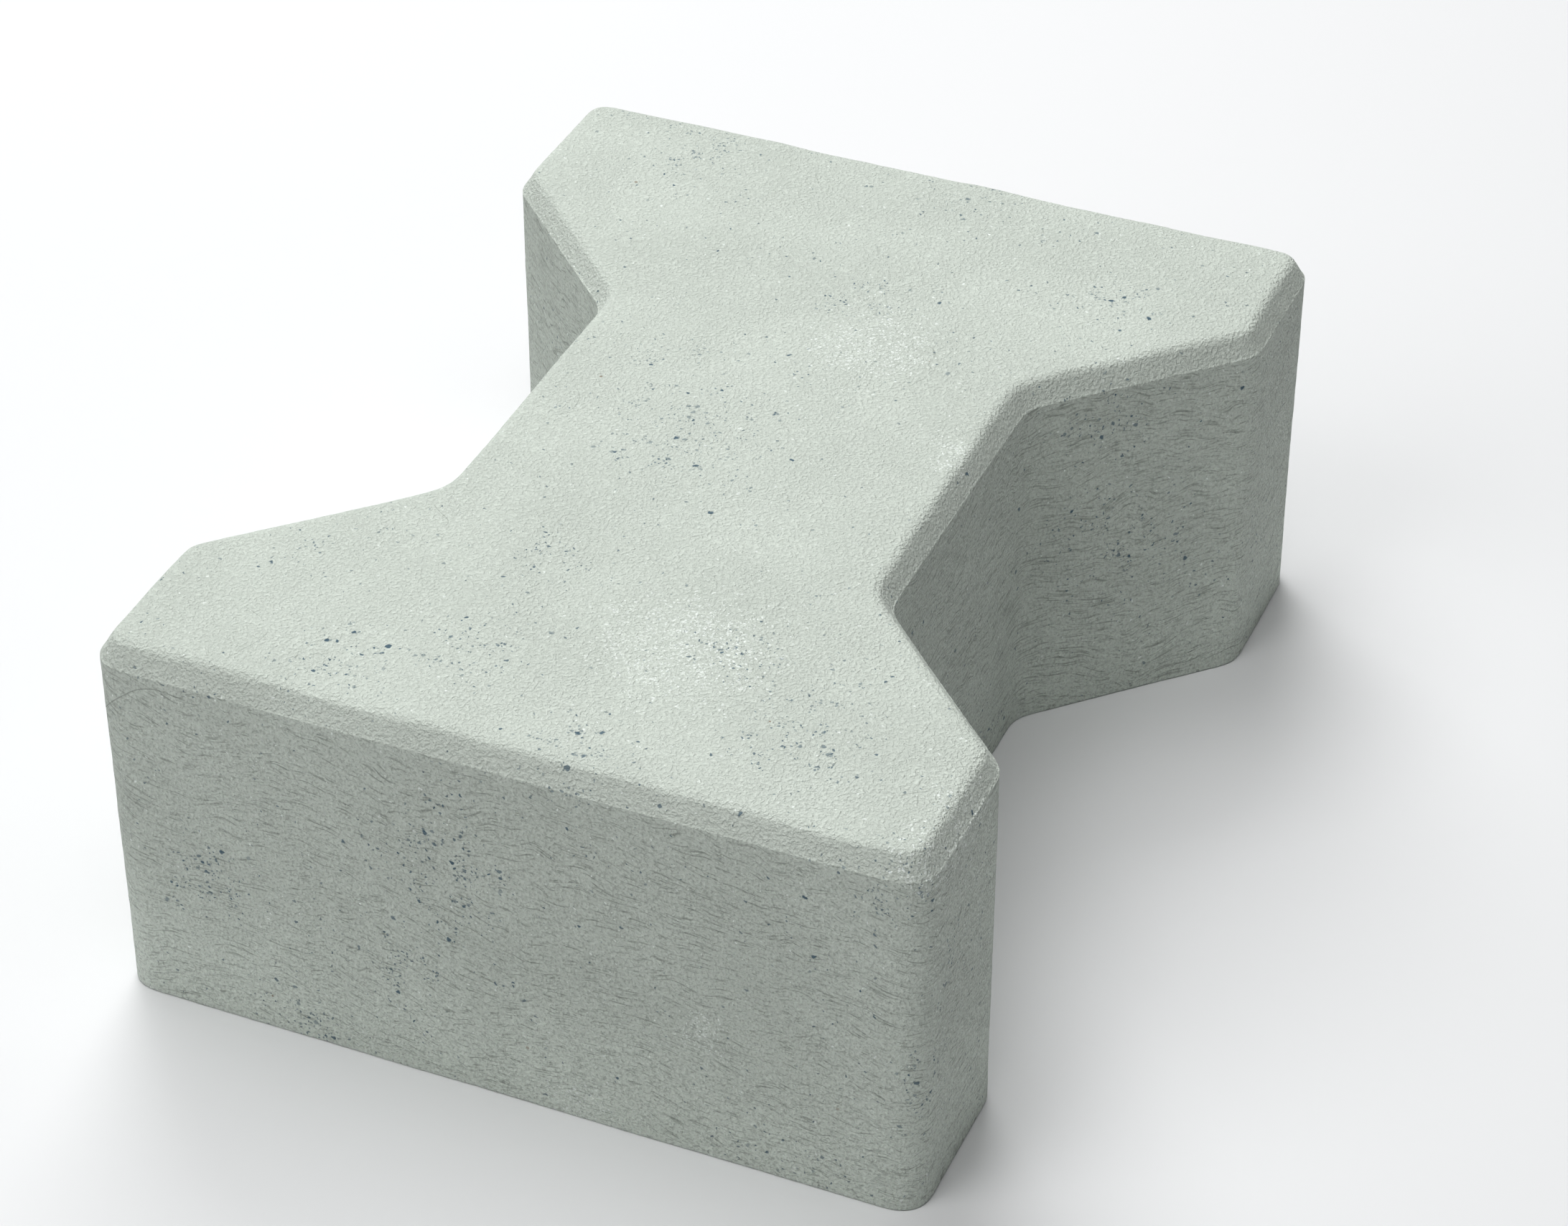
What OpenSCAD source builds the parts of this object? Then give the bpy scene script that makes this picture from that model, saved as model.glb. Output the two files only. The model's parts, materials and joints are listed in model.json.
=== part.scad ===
// Interlocking concrete paving block with two wide heads and a straight waist, pressed in two
// layers: a coarse core below and a fine facing above it, with a chamfer round the wearing face.
// The length runs along Y, the width along X, and Z is up. The bed face is at z = 0.

/* [Overall size] */
// Length of the block between its two end faces
block_l = 210; // [180:1:240]
// Width across each head
head_w = 160; // [140:1:180]
// Height from the bed face to the wearing face
block_h = 80; // [60:1:100]

/* [Outline] */
// Width across the waist between the heads
waist_w = 90; // [70:1:110]
// Length of block that each sloping flank takes up
flank_run = 35; // [25:1:45]
// Radius of the four end corners, seen from above
corner_r = 6; // [6:0.5:10]
// Radius of the eight bends where a flank begins or ends, seen from above
bend_r = 6; // [6:0.5:10]

/* [Facing] */
// Depth of the fine facing layer, chamfer included
facing_h = 10; // [8:0.5:16]
// How far the chamfer comes in from the side faces
chamfer_w = 3; // [2:0.5:5]
// How far the chamfer comes down from the wearing face
chamfer_h = 5; // [2:0.5:7]

/* [Hidden] */
$fn = 96;

// Height of the flat face where the two layers meet
core_h = block_h - facing_h;
// A waist side is as long as two head sides, so that the heads of two neighbours fill it
head_side = (block_l / 2 - flank_run) / 2;
// How far a side's chamfer cutter laps over a bulging arc
lap = 1;

// Quarter of the outline with its corners sharp, from the end face to the waist: x, y, radius
quarter = [
    [head_w / 2, block_l / 2, corner_r],
    [head_w / 2, block_l / 2 - head_side, bend_r],
    [waist_w / 2, head_side, bend_r],
];

// All twelve corners, anticlockwise from the right-hand side of the waist
corners = [
    for (k = [2:-1:0]) quarter[k],
    for (k = [0:2]) [-quarter[k][0], quarter[k][1], quarter[k][2]],
    for (k = [2:-1:0]) [-quarter[k][0], -quarter[k][1], quarter[k][2]],
    for (k = [0:2]) [quarter[k][0], -quarter[k][1], quarter[k][2]],
];
count = len(corners);

function place(i) = let (c = corners[(i + count) % count]) [c[0], c[1]];
function radius(i) = corners[(i + count) % count][2];
// Unit vector from corner i to the next one, and the unit vector to the left of it
function along(i) = let (d = place(i + 1) - place(i)) d / norm(d);
function leftward(i) = [-along(i)[1], along(i)[0]];
function heading(i) = atan2(along(i)[1], along(i)[0]);
// Angle that the outline turns by at a corner: above zero where it bulges, below where it is hollow
function turn(i) = asin(along(i - 1)[0] * along(i)[1] - along(i - 1)[1] * along(i)[0]);
function bulges(i) = turn(i) > 0;
function trim(i) = radius(i) * tan(abs(turn(i)) / 2);
function arc_start(i) = place(i) - along(i - 1) * trim(i);
function arc_end(i) = place(i) + along(i) * trim(i);
function arc_centre(i) = arc_start(i) + sign(turn(i)) * radius(i) * leftward(i - 1);

// A coarse move and a fine one together keep more figures, so that arcs and sides stay tangent
module move(to) {
    coarse = [round(to[0] * 100) / 100, round(to[1] * 100) / 100];
    translate(coarse) translate(to - coarse) children();
}

// Wedge from the arc's centre over the arc at corner i, out past the sharp corner. It and what
// follows for a corner are placed with the arc's centre at the origin.
module wedge(i) {
    c = arc_centre(i);
    polygon([[0, 0], 2 * (arc_start(i) - c), 2 * (place(i) - c), 2 * (arc_end(i) - c)]);
}

// What lies between the sharp corner i and its arc
module corner_piece(i) {
    move(arc_centre(i)) difference() {
        wedge(i);
        circle(r = radius(i));
    }
}

// The notch beside the waist, on the right: the corners 11 and 0 are its two hollow ones
module notch() {
    difference() {
        polygon([
            place(-1) + 1.2 * (place(-2) - place(-1)),
            place(-1),
            place(0),
            place(0) + 1.2 * (place(1) - place(0)),
        ]);
        corner_piece(0);
        corner_piece(count - 1);
    }
}

// The outline of the block, seen from above
module outline() {
    difference() {
        square([head_w, block_l], center = true);
        for (i = [0:count - 1]) if (bulges(i)) corner_piece(i);
        notch();
        rotate(180) notch();
    }
}

// Section of the chamfer cutter: the side face is at x = 0 with the block towards +x, or towards -x
// where the section is flipped, and the wearing face is at y = 0
module chamfer_section(flip = 1) {
    polygon([
        [-0.1 * flip * chamfer_w, -1.1 * chamfer_h],
        [1.1 * flip * chamfer_w, 0.1 * chamfer_h],
        [-0.1 * flip * chamfer_w, 0.1 * chamfer_h],
    ]);
}

// Cuts the chamfer round the arc at corner i. A hollow arc's cutter laps a little over both sides.
module corner_cutter(i) {
    over = bulges(i) ? 0 : sign(turn(i)) * lap;
    move(arc_centre(i)) rotate(heading(i - 1) - 90 * sign(turn(i)) - over)
        rotate_extrude(angle = turn(i) + 2 * over)
            translate([radius(i), 0]) chamfer_section(bulges(i) ? -1 : 1);
}

// Cuts the chamfer along the side after corner i. A cutter starts where a hollow arc ends, and laps
// over a bulging arc. Between two hollow arcs there is one from each, and they meet past the middle.
module side_cutter(i) {
    side = norm(arc_start(i + 1) - arc_end(i));
    run = bulges(i) || bulges(i + 1) ? ceil(side) + lap : ceil(side / 2);
    back = bulges(i) ? lap : 0;
    if (!bulges(i) || bulges(i + 1))
        move(arc_end(i)) rotate(heading(i)) translate([-back, 0, 0]) rotate([90, 0, 90])
            linear_extrude(run + back) chamfer_section();
    if (!bulges(i + 1))
        move(arc_start(i + 1)) rotate(heading(i)) translate([-run, 0, 0]) rotate([90, 0, 90])
            linear_extrude(run) chamfer_section();
}

module core_block() {
    color([0.58, 0.61, 0.58]) linear_extrude(core_h) outline();
}

module facing_layer() {
    color([0.80, 0.83, 0.79]) difference() {
        translate([0, 0, core_h]) linear_extrude(facing_h) outline();
        translate([0, 0, block_h]) for (i = [0:count - 1]) {
            corner_cutter(i);
            side_cutter(i);
        }
    }
}

core_block();
facing_layer();
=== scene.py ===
import json
import math

import bmesh
import bpy
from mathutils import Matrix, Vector


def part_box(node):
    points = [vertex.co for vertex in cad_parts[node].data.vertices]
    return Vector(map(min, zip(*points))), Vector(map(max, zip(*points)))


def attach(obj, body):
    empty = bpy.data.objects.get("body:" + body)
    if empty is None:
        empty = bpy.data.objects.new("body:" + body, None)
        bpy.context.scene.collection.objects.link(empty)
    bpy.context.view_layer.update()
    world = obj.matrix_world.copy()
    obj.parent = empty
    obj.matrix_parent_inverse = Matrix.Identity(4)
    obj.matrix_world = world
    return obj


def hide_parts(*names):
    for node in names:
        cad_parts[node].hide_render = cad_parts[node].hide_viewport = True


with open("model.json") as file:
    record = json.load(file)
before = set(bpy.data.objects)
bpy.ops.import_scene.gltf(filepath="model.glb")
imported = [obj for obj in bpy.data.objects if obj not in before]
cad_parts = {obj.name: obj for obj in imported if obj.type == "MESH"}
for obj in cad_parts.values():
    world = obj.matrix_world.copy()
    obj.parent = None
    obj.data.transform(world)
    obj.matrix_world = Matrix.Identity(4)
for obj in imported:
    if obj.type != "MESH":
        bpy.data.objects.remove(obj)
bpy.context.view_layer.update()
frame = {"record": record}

mm = 0.001

# The plan of the block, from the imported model's boxes and mount faces
mounts = {m["name"]: m for m in frame["record"]["mounts"]}
coreLow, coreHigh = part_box("core_block")
facingLow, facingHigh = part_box("facing_layer")
flank = mounts["right_front_flank"]
plan = {
    "headHalf": coreHigh.x,
    "endAt": coreHigh.y,
    "waistHalf": mounts["right_waist"]["pos_m"][0],
    "flankMiddle": abs(flank["pos_m"][1]),
    "cornerRadius": 6 * mm,
    "bendRadius": 6 * mm,
    "step": 2.8 * mm,  # one face of the cage, which smoothing cuts in four
}
flankRun = (plan["headHalf"] - plan["waistHalf"]) * abs(flank["axis"][0] / flank["axis"][1])
plan["waistEnd"] = plan["flankMiddle"] - flankRun / 2
plan["flankEnd"] = plan["flankMiddle"] + flankRun / 2


def pick(piece, kind, wanted):
    # selects the verts, edges or faces that pass the test, and nothing else
    bpy.ops.mesh.select_mode(type={"verts": "VERT", "edges": "EDGE", "faces": "FACE"}[kind])
    bpy.ops.mesh.select_all(action="DESELECT")
    mesh = bmesh.from_edit_mesh(piece.data)
    for part in getattr(mesh, kind):
        if not part.hide and wanted(part):
            part.select_set(True)
    mesh.select_flush_mode()
    bmesh.update_edit_mesh(piece.data)


def rise(edge):
    return abs(edge.verts[0].co.z - edge.verts[1].co.z)


def isLevelAt(height):
    return lambda edge: all(abs(v.co.z - height) < 0.001 * mm for v in edge.verts)


def isRimAt(height):
    level = isLevelAt(height)
    return lambda edge: edge.is_boundary and level(edge)


def isBig(face):
    # true of the one face that closes the whole outline, of about 0.026 square metres
    return face.calc_area() > 0.005


def castSides(name, low, high, rows):
    # the twelve upright sides as an open band, with corners and bends rounded and the sides cut in even steps
    bpy.ops.object.select_all(action="DESELECT")
    size = (2 * plan["headHalf"], 2 * plan["endAt"], high - low)
    bpy.ops.mesh.primitive_cube_add(size=1, location=(0, 0, (low + high) / 2), scale=size)
    piece = bpy.context.object
    piece.name = piece.data.name = name
    bpy.ops.object.transform_apply(location=True, rotation=True, scale=True)
    bpy.ops.object.mode_set(mode="EDIT")
    for at in (-plan["flankEnd"], -plan["waistEnd"], plan["waistEnd"], plan["flankEnd"]):
        bpy.ops.mesh.select_all(action="SELECT")
        bpy.ops.mesh.bisect(plane_co=(0, at, 0), plane_no=(0, 1, 0))
    pick(piece, "verts", lambda v: abs(v.co.y) < plan["flankMiddle"])
    bpy.ops.transform.resize(value=(plan["waistHalf"] / plan["headHalf"], 1, 1), center_override=(0, 0, 0))
    pick(piece, "faces", lambda f: abs(f.normal.z) > 0.9)
    bpy.ops.mesh.delete(type="FACE")
    # where along the block, radius, turn in degrees and steps of each rounding
    rounds = (
        ([plan["endAt"]], plan["cornerRadius"], 90, 4),
        ([plan["waistEnd"], plan["flankEnd"]], plan["bendRadius"], 45, 2),
    )
    for places, radius, turn, steps in rounds:
        pick(piece, "edges", lambda e: rise(e) > mm
             and any(abs(abs(e.verts[0].co.y) - at) < 0.01 * mm for at in places))
        bpy.ops.mesh.bevel(offset=radius * math.tan(math.radians(turn / 2)), offset_type="OFFSET",
                           segments=steps, profile=0.5, affect="EDGES")
    mesh = bmesh.from_edit_mesh(piece.data)
    lengths = {round(e.calc_length(), 5) for e in mesh.edges if rise(e) < 0.001 * mm}
    for length in sorted(length for length in lengths if length > 2 * plan["step"]):
        pick(piece, "edges", lambda e: rise(e) < 0.001 * mm and abs(e.calc_length() - length) < 0.02 * mm)
        bpy.ops.mesh.subdivide(number_cuts=round(length / plan["step"]) - 1)
    pick(piece, "edges", lambda e: rise(e) > mm)
    bpy.ops.mesh.subdivide(number_cuts=rows - 1)
    return piece


def gridFace(piece, step):
    # cuts the one big face that is left inside its border rings into a grid of small ones
    pick(piece, "faces", isBig)
    bpy.ops.mesh.hide(unselected=True)
    for normal, half in (((1, 0, 0), plan["headHalf"]), ((0, 1, 0), plan["endAt"])):
        count = int(half / step)
        for k in range(-count, count + 1):
            bpy.ops.mesh.select_all(action="SELECT")
            at = [k * step * n for n in normal]
            bpy.ops.mesh.bisect(plane_co=at, plane_no=normal, threshold=0.2 * step)
    bpy.ops.mesh.reveal()


def smoothCage(piece):
    bpy.ops.object.mode_set(mode="OBJECT")
    bpy.ops.object.modifier_add(type="SUBSURF")
    piece.modifiers[-1].levels = piece.modifiers[-1].render_levels = 2
    bpy.ops.object.modifier_apply(modifier=piece.modifiers[-1].name)


# one function adds a node with its settings, its values and its links
def addNode(tree, kind, settings=None, feeds=None):
    node = tree.nodes.new(kind)
    for key, value in (settings or {}).items():
        setattr(node, key, value)
    for key, value in (feeds or {}).items():
        if isinstance(value, bpy.types.NodeSocket):
            tree.links.new(value, node.inputs[key])
        else:
            node.inputs[key].default_value = value
    return node


# The facing layer: side band, flat chamfer, soft upper edge and the wearing face
facingShape = {
    "chamferIn": 3 * mm,
    "chamferDown": 5 * mm,
    "softEdge": 1.0 * mm,  # how far the rounding of the upper edge reaches to each side of it
    "ringWidth": 1.2 * mm,  # a border of even width round the grid of the wearing face
    "lowEdge": 0.12 * mm,  # the crisp edge at the foot of the chamfer
    "sideRows": 2,
}
chamferFoot = facingHigh.z - facingShape["chamferDown"]
facing = castSides("facing_concrete_layer", facingLow.z, chamferFoot, facingShape["sideRows"])
pick(facing, "edges", isRimAt(chamferFoot))
bpy.ops.mesh.edge_face_add()
bpy.ops.mesh.select_all(action="SELECT")
bpy.ops.mesh.normals_make_consistent(inside=False)
pick(facing, "faces", isBig)
bpy.ops.mesh.inset(thickness=facingShape["chamferIn"], depth=facingShape["chamferDown"],
                   use_even_offset=True)
pick(facing, "edges", lambda e: rise(e) > 0.8 * facingShape["chamferDown"])
bpy.ops.mesh.subdivide(number_cuts=2)
pick(facing, "edges", isLevelAt(facingHigh.z))
bpy.ops.mesh.bevel(offset=facingShape["softEdge"], offset_type="OFFSET", segments=2, profile=0.5,
                   affect="EDGES")
pick(facing, "faces", isBig)
bpy.ops.mesh.inset(thickness=facingShape["ringWidth"], depth=0, use_even_offset=True)
gridFace(facing, plan["step"])
pick(facing, "edges", isLevelAt(chamferFoot))
bpy.ops.transform.edge_crease(value=1)
smoothCage(facing)
bpy.ops.object.mode_set(mode="EDIT")
pick(facing, "edges", isLevelAt(chamferFoot))
bpy.ops.mesh.bevel(offset=facingShape["lowEdge"], offset_type="OFFSET", segments=2, profile=0.5,
                   affect="EDGES")
bpy.ops.object.mode_set(mode="OBJECT")
print("facing layer:", len(facing.data.polygons), "faces")

# The core: sides down to a crisp bed edge, and the bed face
coreShape = {
    "sideRows": 16,
    "ringWidth": 2.4 * mm,
    "bedStep": 5.6 * mm,  # the bed is flat, so its grid is coarser
    "bedEdge": 0.35 * mm,
}


def isBedEdge(edge):
    return isLevelAt(coreLow.z)(edge) and any(f.normal.z > -0.5 for f in edge.link_faces)


core = castSides("core_concrete_block", coreLow.z, coreHigh.z, coreShape["sideRows"])
pick(core, "edges", isRimAt(coreLow.z))
bpy.ops.mesh.edge_face_add()
bpy.ops.mesh.select_all(action="SELECT")
bpy.ops.mesh.normals_make_consistent(inside=False)
pick(core, "faces", isBig)
bpy.ops.mesh.inset(thickness=coreShape["ringWidth"], depth=0, use_even_offset=True)
gridFace(core, coreShape["bedStep"])
pick(core, "edges", isBedEdge)
bpy.ops.transform.edge_crease(value=1)
smoothCage(core)
bpy.ops.object.mode_set(mode="EDIT")
pick(core, "edges", isBedEdge)
bpy.ops.mesh.bevel(offset=coreShape["bedEdge"], offset_type="OFFSET", segments=2, profile=0.5,
                   affect="EDGES")
bpy.ops.object.mode_set(mode="OBJECT")
print("core block:", len(core.data.polygons), "faces")


# Relief of the cast surface, inwards only. It depends on the place alone, so the layers still meet.
# Each entry has the size of its hollows and their depth, in mm.
relief = {
    "swell": (25, 0.80),  # broad soft hollows of the tamped wearing face
    "sideSwell": (34, 0.25),
    "grain": (2.6, 0.09),  # the coarser part of the orange peel
}

# Slow patterns that the materials read, stored on the mesh by the same modifier. In mm, and for clouds of
# noise the size first and then the values where they begin and are full.
slow = {
    # x, y, z and radius of the places where blue-grey grit gathers
    "gritPatches": (
        (-15, -49, 80, 12), (-16, -80, 80, 16), (13, -100, 80, 16), (28, -63, 80, 14), (47, -80, 80, 20),
        (-10, -4, 80, 26), (-26, 18, 80, 12), (4, 51, 80, 14), (10, 98, 80, 14), (50, 73, 80, 14),
        (-48, 92, 80, 16), (-58, -67, 80, 12), (-35, -92, 80, 16), (74, -104, 76, 11), (71, -105, 69, 9),
        (-23, -105, 23, 14), (-41, -105, 6, 12), (-11, -105, 46, 20), (-58, -105, 33, 15),
        (78, -104, 28, 16), (79, -90, 50, 14), (62, 46, 38, 22), (58, 44, 70, 16), (46, 19, 8, 15),
    ),
    # the same for white grit
    "whitePatches": (
        (19, -65, 80, 25), (12, 38, 80, 20), (39, 9, 80, 8), (79, -97, 77, 13), (80, -87, 77, 13),
        (14, -105, 4, 10), (38, -105, 29, 7),
    ),
    "gritBend": (9, 10),  # size of the noise that pushes the patches out of round, and how far
    "whiteBend": (7, 11),
    "clumps": (4, 0.45, 0.60),
    "stray": (17, 0.50, 0.72),
    "clouds": (24, 0.32, 0.68),
    "crackZones": (21, 0.56, 0.64),
    "crackBends": ((30, 22), (6, 2.4)),
    "dragBends": ((32, 14), (6, 3.2)),
    "dragDrop": 0.07,  # the drag marks fall this much for each mm towards +X, and rise as much towards +Y
}


def mottle(tree, place, size, low, high, detail=2, rough=0.5):
    # soft clouds of that size, 0 where the noise is at low and 1 where it is at high
    noise = addNode(tree, "ShaderNodeTexNoise", None,
                    {"Vector": place, "Scale": 1 / size, "Detail": detail, "Roughness": rough})
    return addNode(tree, "ShaderNodeMapRange", {"interpolation_type": "SMOOTHSTEP"},
                   {"Value": noise.outputs[0], "From Min": low, "From Max": high}).outputs[0]


def bend(tree, place, size, by):
    # the same coordinates pushed about, so that what is drawn on them wanders
    noise = addNode(tree, "ShaderNodeTexNoise", None, {"Vector": place, "Scale": 1 / size, "Detail": 0})
    push = addNode(tree, "ShaderNodeVectorMath", {"operation": "SUBTRACT"},
                   {0: noise.outputs["Color"], 1: (0.5, 0.5, 0.5)})
    push = addNode(tree, "ShaderNodeVectorMath", {"operation": "SCALE"},
                   {0: push.outputs[0], "Scale": by}).outputs[0]
    return addNode(tree, "ShaderNodeVectorMath", {"operation": "ADD"}, {0: place, 1: push}).outputs[0]


def patches(tree, place, centres):
    # soft patches round chosen places: x, y, z and radius
    total = 0.0
    for x, y, z, radius in centres:
        away = addNode(tree, "ShaderNodeVectorMath", {"operation": "DISTANCE"}, {0: place, 1: (x, y, z)})
        near = addNode(tree, "ShaderNodeMapRange", None,
                       {"Value": away.outputs["Value"], "From Min": radius, "From Max": 0.25 * radius})
        total = addNode(tree, "ShaderNodeMath", {"operation": "MAXIMUM"},
                        {0: total, 1: near.outputs[0]}).outputs[0]
    return total


def together(tree, *factors):
    # masks and amounts laid over each other, so that each weakens the rest
    total = factors[0]
    for factor in factors[1:]:
        total = addNode(tree, "ShaderNodeMath", {"operation": "MULTIPLY"}, {0: total, 1: factor}).outputs[0]
    return total


def makeRelief():
    tree = bpy.data.node_groups.new("castRelief", "GeometryNodeTree")
    tree.interface.new_socket(name="Geometry", in_out="INPUT", socket_type="NodeSocketGeometry")
    tree.interface.new_socket(name="Geometry", in_out="OUTPUT", socket_type="NodeSocketGeometry")
    shape = addNode(tree, "NodeGroupInput").outputs[0]
    position = addNode(tree, "GeometryNodeInputPosition").outputs[0]
    normal = addNode(tree, "GeometryNodeInputNormal").outputs[0]
    place = addNode(tree, "ShaderNodeVectorMath", {"operation": "SCALE"},
                    {0: position, "Scale": 1 / mm}).outputs[0]
    up = addNode(tree, "ShaderNodeSeparateXYZ", None, {0: normal}).outputs["Z"]
    onTop = addNode(tree, "ShaderNodeMapRange", {"interpolation_type": "SMOOTHSTEP"},
                    {"Value": up, "From Min": 0.3, "From Max": 0.95}).outputs[0]
    near = patches(tree, bend(tree, place, *slow["gritBend"]), slow["gritPatches"])
    swarm = together(tree, near, near, mottle(tree, place, *slow["clumps"]))
    bloom = patches(tree, bend(tree, place, *slow["whiteBend"]), slow["whitePatches"])
    wander = place
    for size, by in slow["crackBends"]:
        wander = bend(tree, wander, size, by)
    slope = (slow["dragDrop"], -slow["dragDrop"], 0)
    tilt = addNode(tree, "ShaderNodeVectorMath", {"operation": "DOT_PRODUCT"}, {0: place, 1: slope})
    tilt = addNode(tree, "ShaderNodeCombineXYZ", None, {"Z": tilt.outputs["Value"]}).outputs[0]
    flow = addNode(tree, "ShaderNodeVectorMath", {"operation": "ADD"}, {0: place, 1: tilt}).outputs[0]
    for size, by in slow["dragBends"]:
        flow = bend(tree, flow, size, by)
    stored = (
        ("swarm", "FLOAT", swarm),
        ("stray", "FLOAT", mottle(tree, place, *slow["stray"])),
        ("bloom", "FLOAT", bloom),
        ("clouds", "FLOAT", mottle(tree, place, *slow["clouds"], detail=3)),
        ("crackZone", "FLOAT", together(tree, mottle(tree, place, *slow["crackZones"]), onTop)),
        ("wander", "FLOAT_VECTOR", wander),
        ("flow", "FLOAT_VECTOR", flow),
    )
    for name, kind, value in stored:
        shape = addNode(tree, "GeometryNodeStoreNamedAttribute", {"data_type": kind, "domain": "POINT"},
                        {"Geometry": shape, "Name": name, "Value": value}).outputs[0]
    total = 0.0
    for name, detail, share in (("swell", 1, onTop), ("sideSwell", 1, 1.0), ("grain", 2, 1.0)):
        size, depth = relief[name]
        noise = addNode(tree, "ShaderNodeTexNoise", None,
                        {"Vector": place, "Scale": 1 / size, "Detail": detail}).outputs[0]
        hollow = addNode(tree, "ShaderNodeMapRange", None,
                         {"Value": noise, "From Min": 0.25, "From Max": 0.75, "To Max": depth}).outputs[0]
        total = addNode(tree, "ShaderNodeMath", {"operation": "MULTIPLY_ADD"},
                        {0: hollow, 1: share, 2: total}).outputs[0]
    offset = addNode(tree, "ShaderNodeVectorMath", {"operation": "SCALE"},
                     {0: normal, "Scale": together(tree, total, -mm)}).outputs[0]
    shape = addNode(tree, "GeometryNodeSetPosition", None, {"Geometry": shape, "Offset": offset}).outputs[0]
    addNode(tree, "NodeGroupOutput", None, {0: shape})
    return tree


castRelief = makeRelief()
for piece, seam in ((facing, facingLow.z), (core, coreHigh.z)):
    bpy.ops.object.select_all(action="DESELECT")
    piece.select_set(True)
    bpy.context.view_layer.objects.active = piece
    bpy.ops.object.modifier_add(type="NODES")
    piece.modifiers[-1].node_group = castRelief
    bpy.ops.object.modifier_apply(modifier=piece.modifiers[-1].name)
    bpy.ops.object.mode_set(mode="EDIT")
    pick(piece, "edges", isRimAt(seam))
    bpy.ops.mesh.edge_face_add()  # the hidden face where the two layers meet
    bpy.ops.mesh.select_all(action="SELECT")
    bpy.ops.mesh.normals_make_consistent(inside=False)
    bpy.ops.object.mode_set(mode="OBJECT")
    bpy.ops.object.shade_smooth_by_angle(angle=math.radians(40))
    print(piece.name, "has its relief:", len(piece.data.polygons), "faces")


def toLinear(code):
    # an sRGB hex value as linear colour
    parts = [int(code[i:i + 2], 16) / 255 for i in (1, 3, 5)]
    return [c / 12.92 if c <= 0.04045 else ((c + 0.055) / 1.055) ** 2.4 for c in parts] + [1]


def spots(tree, place, cell, radius, share):
    # grains or pits up to that radius, in a share of the cells
    cells = addNode(tree, "ShaderNodeTexVoronoi", None, {"Vector": place, "Scale": 1 / cell})
    draw = addNode(tree, "ShaderNodeSeparateColor", None, {0: cells.outputs["Color"]})
    there = addNode(tree, "ShaderNodeMath", {"operation": "LESS_THAN"}, {0: draw.outputs[0], 1: share})
    reach = addNode(tree, "ShaderNodeMapRange", None,
                    {"Value": draw.outputs[1], "To Min": 0.35 * radius / cell, "To Max": radius / cell})
    away = addNode(tree, "ShaderNodeMath", {"operation": "DIVIDE"},
                   {0: cells.outputs["Distance"], 1: reach.outputs[0]})
    dot = addNode(tree, "ShaderNodeMapRange", {"interpolation_type": "SMOOTHSTEP"},
                  {"Value": away.outputs[0], "From Min": 1.0, "From Max": 0.55})
    strength = addNode(tree, "ShaderNodeMapRange", None,
                       {"Value": draw.outputs[2], "To Min": 0.45, "To Max": 1.0})
    return together(tree, dot.outputs[0], there.outputs[0], strength.outputs[0])


def archedCrack(tree, place, wander, arch):
    # a thin line on the front end that climbs steeply to its top and falls away slowly
    straight = addNode(tree, "ShaderNodeSeparateXYZ", None, {0: place}).outputs
    wavy = addNode(tree, "ShaderNodeMix", {"data_type": "VECTOR"},
                   {0: arch["waver"], 4: place, 5: wander}).outputs[1]
    wavy = addNode(tree, "ShaderNodeSeparateXYZ", None, {0: wavy}).outputs
    topX, topZ = arch["top"]
    along = addNode(tree, "ShaderNodeMath", {"operation": "SUBTRACT"}, {0: wavy["X"], 1: topX}).outputs[0]
    past = addNode(tree, "ShaderNodeMath", {"operation": "GREATER_THAN"}, {0: along, 1: 0}).outputs[0]
    curve = addNode(tree, "ShaderNodeMapRange", None,
                    {"Value": past, "To Min": arch["climb"], "To Max": arch["fall"]}).outputs[0]
    drop = together(tree, along, along, curve)
    off = addNode(tree, "ShaderNodeMath", {"operation": "ADD"}, {0: wavy["Z"], 1: drop}).outputs[0]
    off = addNode(tree, "ShaderNodeMath", {"operation": "SUBTRACT"}, {0: off, 1: topZ}).outputs[0]
    off = addNode(tree, "ShaderNodeMath", {"operation": "ABSOLUTE"}, {0: off}).outputs[0]
    line = addNode(tree, "ShaderNodeMapRange", None,
                   {"Value": off, "From Min": arch["width"], "From Max": 0.3 * arch["width"]}).outputs[0]
    fade = addNode(tree, "ShaderNodeMapRange", None,
                   {"Value": straight["X"], "From Min": arch["end"], "From Max": arch["fullTo"]}).outputs[0]
    onEnd = addNode(tree, "ShaderNodeMath", {"operation": "LESS_THAN"},
                    {0: straight["Y"], 1: arch["inFrontOf"]}).outputs[0]
    return together(tree, line, fade, onEnd)


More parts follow.
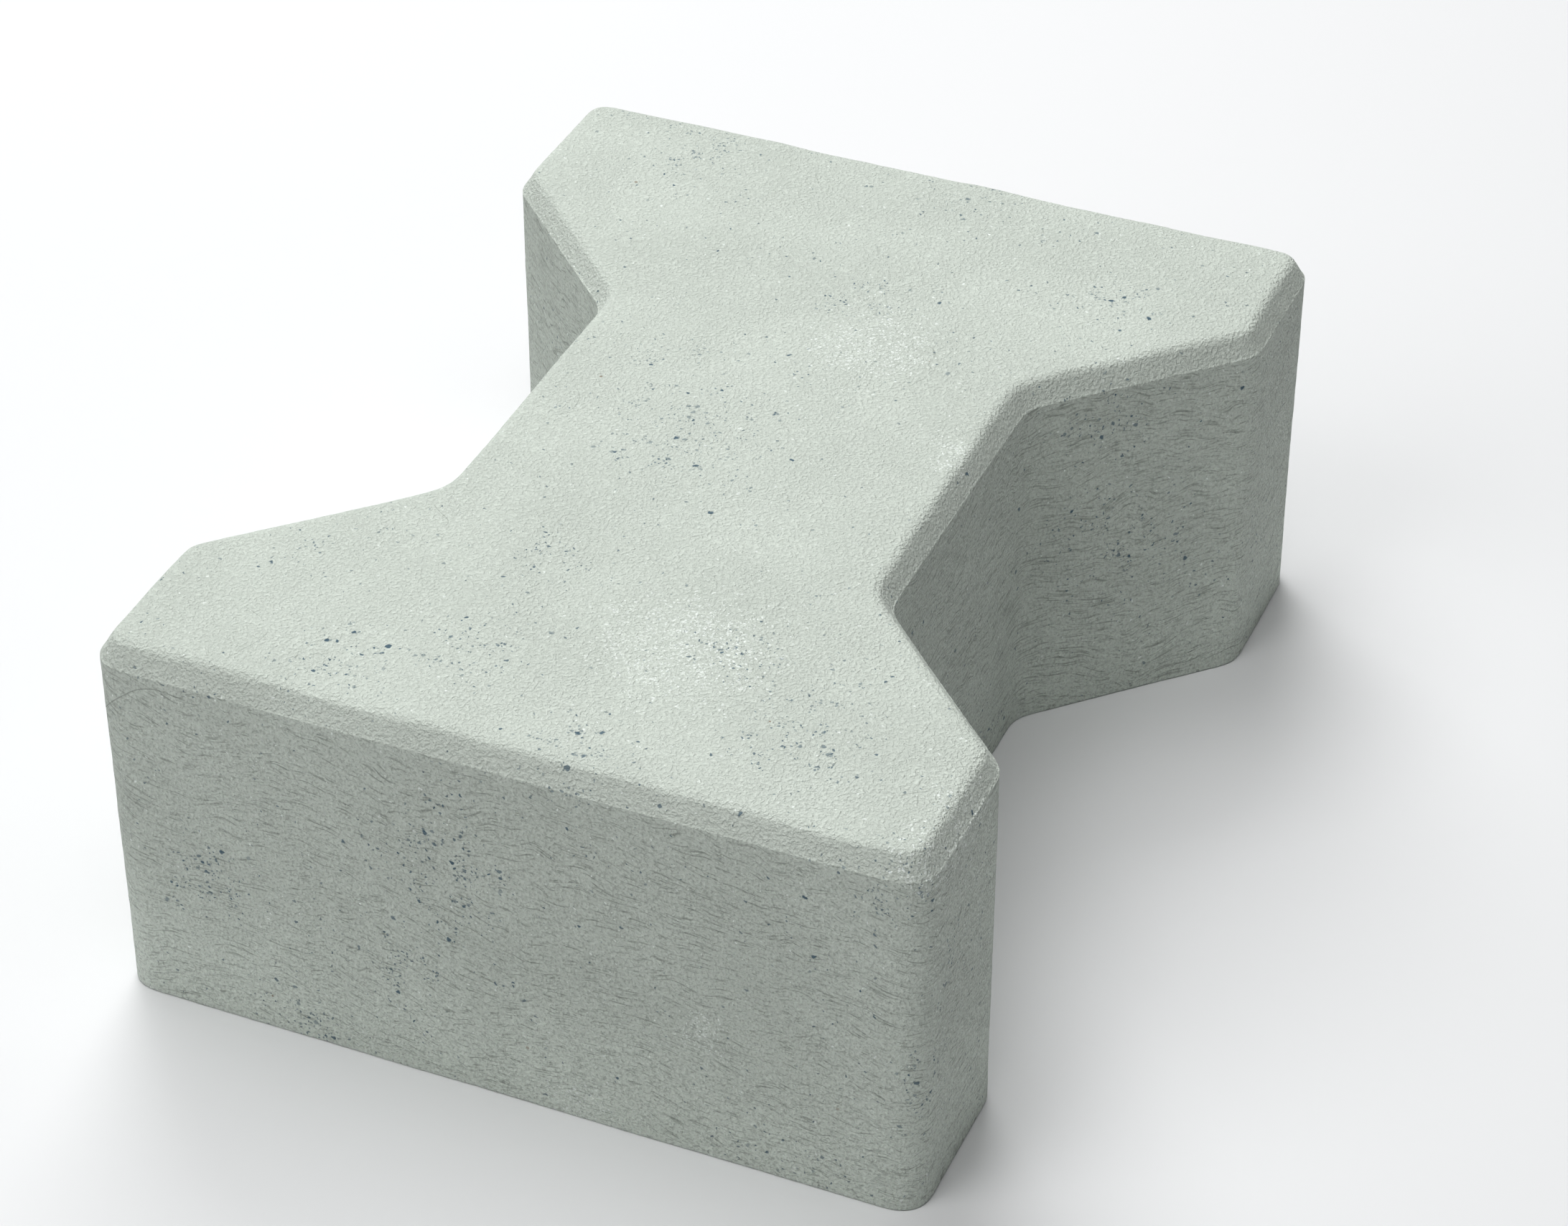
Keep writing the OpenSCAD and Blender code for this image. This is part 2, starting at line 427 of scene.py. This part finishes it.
# Facing concrete: pale cement and fine sand, vibro-pressed while damp. The tamper shoe leaves a soft orange
# peel on the wearing face and the chamfer, blue-grey and white grit shows through the paste in swarms with
# a rare rusty speck of iron, and the mould walls draw short, nearly level marks on the sides. Matt and
# chalky. Sizes and heights are in mm, and each kind of grit has the width of the cells it is strewn in and
# its greatest radius.
facingLook = {
    "cement": "#D1D9D0", "cementShade": "#CBD3CA", "roughness": (0.80, 0.93), "ior": 1.5,
    "paintedFloorLightAmount": 0.18, "palerFrom": 38, "palerTo": 2,  # painted light: the heights between which the sides grow paler towards the bed, as if lit by light thrown up from the floor
    "grain": (0.64, 0.22, 0.78),  # size, and the values of the noise where it begins and is full
    "grainHeight": 0.31, "grainTint": 0.19,
    "ragged": (0.8, 0.8),  # size and reach of what makes the grains uneven
    "blueGrit": "#36586B", "coarseGrit": (1.8, 0.68), "coarseShare": 0.5, "fineGrit": (0.85, 0.39),
    "gritEverywhere": 0.02, "gritStray": 0.16, "gritSwarm": 1.8,
    "whiteGrit": "#F8FFFA", "whiteSize": (0.6, 0.37), "whiteEverywhere": 0.02, "whiteSwarm": 2.2,
    "rust": "#7A5B3A", "rustSize": (4.0, 0.5), "rustShare": 0.02,
    "mark": "#747B73", "sand": (0.5, 0.50, 0.30),
    "dragLength": 4.4, "dragThickness": 0.38, "dragHeight": 0.10,
    "dragBegins": (0.45, 0.51), "dragFull": 0.29,  # it begins at more of the noise in the hollow sides
    "crackSize": 40, "crackWidth": (0.0020, 0.0005),  # the width is in values of the noise, edge and core
    "arch": {"top": (-63, 72.6), "climb": 0.045, "fall": 0.016, "end": -56, "fullTo": -68,
             "inFrontOf": -98, "width": 0.20, "waver": 0.20},
    # how much each thing hides the cement
    "covers": {"drag": 0.58, "sand": 0.32, "cracks": 0.40, "arch": 0.55, "fineGrit": 0.90,
               "coarseGrit": 0.94, "rust": 0.75, "whiteGrit": 0.92},
}

# Core concrete: the same paste over a leaner mix with more coarse sand, filled and pressed in one go with the
# facing, so its sides look the same. Its bed stood on the pallet board, which leaves it flat and pitted, with
# no drag marks; the bed is also paler, from painted light thrown up from the floor.
coreLook = {**facingLook, "bedPit": "#8D948C", "bedPitSize": (1.5, 0.675), "bedPitShare": 0.4,
            "bedPitCover": 0.8, "bedPitHeight": -0.3}


def concreteFinish(name, look):
    finish = bpy.data.materials.new(name)
    finish.use_nodes = True
    tree = finish.node_tree
    skin = tree.nodes["Principled BSDF"]
    skin.inputs["IOR"].default_value = look["ior"]
    stored = {key: addNode(tree, "ShaderNodeAttribute", {"attribute_name": key}).outputs
              for key in ("swarm", "stray", "bloom", "clouds", "crackZone", "wander", "flow")}
    origin = addNode(tree, "ShaderNodeTexCoord").outputs["Object"]
    place = addNode(tree, "ShaderNodeVectorMath", {"operation": "SCALE"},
                    {0: origin, "Scale": 1 / mm}).outputs[0]
    axes = addNode(tree, "ShaderNodeSeparateXYZ", None, {0: place}).outputs
    foot = chamferFoot / mm
    side = addNode(tree, "ShaderNodeMapRange", None,
                   {"Value": axes["Z"], "From Min": foot + 0.1, "From Max": foot - 0.1}).outputs[0]
    bed = addNode(tree, "ShaderNodeMapRange", None,
                  {"Value": axes["Z"], "From Min": 1.4, "From Max": 1.0}).outputs[0]
    notBed = addNode(tree, "ShaderNodeMath", {"operation": "SUBTRACT"}, {0: 1, 1: bed}).outputs[0]
    ragged = bend(tree, place, *look["ragged"])

    # blue-grey grit comes in loose swarms, and a little of it everywhere
    share = look["gritEverywhere"]
    for key, amount in (("stray", look["gritStray"]), ("swarm", look["gritSwarm"])):
        share = addNode(tree, "ShaderNodeMath", {"operation": "MULTIPLY_ADD"},
                        {0: stored[key]["Fac"], 1: amount, 2: share}).outputs[0]
    coarseGrit = spots(tree, ragged, *look["coarseGrit"], together(tree, share, look["coarseShare"]))
    fineGrit = spots(tree, ragged, *look["fineGrit"], share)
    rust = spots(tree, place, *look["rustSize"], look["rustShare"])

    # white grit in a few patches that are dense at the heart
    bloom = stored["bloom"]["Fac"]
    share = addNode(tree, "ShaderNodeMath", {"operation": "MULTIPLY_ADD"},
                    {0: together(tree, bloom, bloom, bloom), 1: look["whiteSwarm"],
                     2: look["whiteEverywhere"]}).outputs[0]
    whiteGrit = spots(tree, ragged, *look["whiteSize"], share)

    # a hairline crack runs where a slow noise passes its middle value
    ridge = addNode(tree, "ShaderNodeTexNoise", None, {"Vector": stored["wander"]["Vector"],
                    "Scale": 1 / look["crackSize"], "Detail": 0}).outputs[0]
    ridge = addNode(tree, "ShaderNodeMath", {"operation": "SUBTRACT"}, {0: ridge, 1: 0.5}).outputs[0]
    ridge = addNode(tree, "ShaderNodeMath", {"operation": "ABSOLUTE"}, {0: ridge}).outputs[0]
    edge, middle = look["crackWidth"]
    cracks = addNode(tree, "ShaderNodeMapRange", None,
                     {"Value": ridge, "From Min": edge, "From Max": middle}).outputs[0]
    cracks = together(tree, cracks, stored["crackZone"]["Fac"])
    arch = archedCrack(tree, place, stored["wander"]["Vector"], look["arch"])

    # drag marks: noise drawn out level, which any upright side cuts into short wandering lines. There are
    # more of them in the hollow sides, where the paste is held between two bends
    stretch = [1 / look["dragLength"]] * 2 + [1 / look["dragThickness"]]
    drawn = addNode(tree, "ShaderNodeVectorMath", {"operation": "MULTIPLY"},
                    {0: stored["flow"]["Vector"], 1: stretch}).outputs[0]
    fromMiddle = addNode(tree, "ShaderNodeMath", {"operation": "ABSOLUTE"}, {0: axes["Y"]}).outputs[0]
    flankEnd = plan["flankEnd"] / mm
    onEnds, inHollow = look["dragBegins"]
    begins = addNode(tree, "ShaderNodeMapRange", None,
                     {"Value": fromMiddle, "From Min": flankEnd + 5, "From Max": flankEnd - 8,
                      "To Min": onEnds, "To Max": inHollow}).outputs[0]
    drag = together(tree, mottle(tree, drawn, 1, begins, look["dragFull"], 2, 0.7), side, notBed)
    sand = together(tree, mottle(tree, place, *look["sand"], 1), side)

    # the cement, mottled by clouds and grain, and paler towards the bed: painted light thrown up from the
    # floor
    grain = mottle(tree, place, *look["grain"], 2, 0.6)
    colour = addNode(tree, "ShaderNodeMix", {"data_type": "RGBA"},
                     {0: stored["clouds"]["Fac"], 6: toLinear(look["cementShade"]),
                      7: toLinear(look["cement"])}).outputs[2]
    shade = addNode(tree, "ShaderNodeMapRange", None,
                    {"Value": grain, "To Min": 1 - look["grainTint"] / 2,
                     "To Max": 1 + look["grainTint"] / 2}).outputs[0]
    # painted light: this lightening towards the bed stands in for light thrown up from the floor, and the bed
    # face gets all of it
    paintedFloorLight = addNode(tree, "ShaderNodeMapRange", {"interpolation_type": "SMOOTHSTEP"},
                    {"Value": axes["Z"], "From Min": look["palerFrom"], "From Max": look["palerTo"],
                     "To Min": 1, "To Max": 1 + look["paintedFloorLightAmount"]}).outputs[0]
    for factor in (shade, paintedFloorLight):
        colour = addNode(tree, "ShaderNodeMix", {"data_type": "RGBA", "blend_type": "MULTIPLY"},
                         {0: 1.0, 6: colour, 7: factor}).outputs[2]
    rough = together(tree, grain, look["grainHeight"])

    # what lies on the cement, in order: mask, colour, how much it covers, height
    covers = look["covers"]
    layers = [
        (drag, look["mark"], covers["drag"], -look["dragHeight"]),
        (sand, look["mark"], covers["sand"], 0),
        (cracks, look["mark"], covers["cracks"], 0),
        (arch, look["mark"], covers["arch"], 0),
        (fineGrit, look["blueGrit"], covers["fineGrit"], 0),
        (coarseGrit, look["blueGrit"], covers["coarseGrit"], 0),
        (rust, look["rust"], covers["rust"], 0),
        (whiteGrit, look["whiteGrit"], covers["whiteGrit"], 0),
    ]
    if "bedPit" in look:
        pits = together(tree, spots(tree, ragged, *look["bedPitSize"], look["bedPitShare"]), bed)
        layers.append((pits, look["bedPit"], look["bedPitCover"], look["bedPitHeight"]))
    for mask, tint, cover, lift in layers:
        colour = addNode(tree, "ShaderNodeMix", {"data_type": "RGBA"},
                         {0: together(tree, mask, cover), 6: colour, 7: toLinear(tint)}).outputs[2]
        if lift:
            rough = addNode(tree, "ShaderNodeMath", {"operation": "MULTIPLY_ADD"},
                            {0: mask, 1: lift, 2: rough}).outputs[0]
    tree.links.new(colour, skin.inputs["Base Color"])
    low, high = look["roughness"]
    chalk = addNode(tree, "ShaderNodeMapRange", None,
                    {"Value": stored["clouds"]["Fac"], "To Min": low, "To Max": high}).outputs[0]
    tree.links.new(chalk, skin.inputs["Roughness"])
    bump = addNode(tree, "ShaderNodeBump", None, {"Height": rough, "Strength": 1.0, "Distance": mm})
    tree.links.new(bump.outputs[0], skin.inputs["Normal"])
    return finish


for piece, finish, node, slotName in (
    (facing, concreteFinish("facingConcrete", facingLook), "facing_layer", "facing_concrete"),
    (core, concreteFinish("coreConcrete", coreLook), "core_block", "core_concrete"),
):
    piece.data.materials.clear()
    piece.data.materials.append(finish)
    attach(piece, "root")
    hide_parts(node)
    print(piece.name, "is finished in", finish.name)

floorLook = {"colour": "#ECEDEE", "roughness": 0.9, "size": 6.0}
skyLook = {"colour": (1, 1, 1, 1), "strength": 0.02}
# soft round boxes 1.5 m away: azimuth from the back towards the right, height angle and watts
softBoxes = {
    "size": 0.9, "distance": 1.5,
    "places": ((330, 45, 10.8), (300, 70, 8.0), (210, 45, 4.9), (180, 70, 4.9), (120, 70, 2.8)),
}
cameraLook = {
    "at": (0.27313, -0.61971, 0.54049),
    "turn": (90 - 36.607, 0, 23.063),  # degrees
    "lens": 100.06, "sensor": 36,  # mm
}

# Studio: floor, faint sky, soft boxes and camera
bpy.ops.object.select_all(action="DESELECT")
bpy.ops.mesh.primitive_plane_add(size=floorLook["size"], location=(0, 0, 0))
floor = bpy.context.object
floor.name = "studio_floor"
# Floor: matt painted board, sprayed, with no pattern of its own
paint = bpy.data.materials.new("paleFloorPaint")
paint.use_nodes = True
paintSkin = paint.node_tree.nodes["Principled BSDF"]
paintSkin.inputs["Base Color"].default_value = toLinear(floorLook["colour"])
paintSkin.inputs["Roughness"].default_value = floorLook["roughness"]
floor.data.materials.append(paint)

world = bpy.data.worlds.new("studioSky")
bpy.context.scene.world = world
world.use_nodes = True
world.node_tree.nodes["Background"].inputs["Color"].default_value = skyLook["colour"]
world.node_tree.nodes["Background"].inputs["Strength"].default_value = skyLook["strength"]

for number, (azimuth, angle, watts) in enumerate(softBoxes["places"]):
    a, e = math.radians(azimuth), math.radians(angle)
    at = Vector((math.sin(a) * math.cos(e), math.cos(a) * math.cos(e), math.sin(e))) * softBoxes["distance"]
    bpy.ops.object.light_add(type="AREA", location=at, rotation=(-at).to_track_quat("-Z", "Y").to_euler())
    box = bpy.context.object
    box.name = f"soft_box_{number}"
    box.data.shape = "DISK"
    box.data.size = softBoxes["size"]
    box.data.energy = watts

bpy.ops.object.camera_add(location=cameraLook["at"], rotation=[math.radians(a) for a in cameraLook["turn"]])
camera = bpy.context.object
camera.name = "studio_camera"
camera.data.lens = cameraLook["lens"]
camera.data.sensor_width = cameraLook["sensor"]
camera.data.clip_start = 0.01
bpy.context.scene.camera = camera
bpy.context.scene.view_settings.view_transform = "Standard"

print("studio:", len(softBoxes["places"]), "soft boxes and the camera")
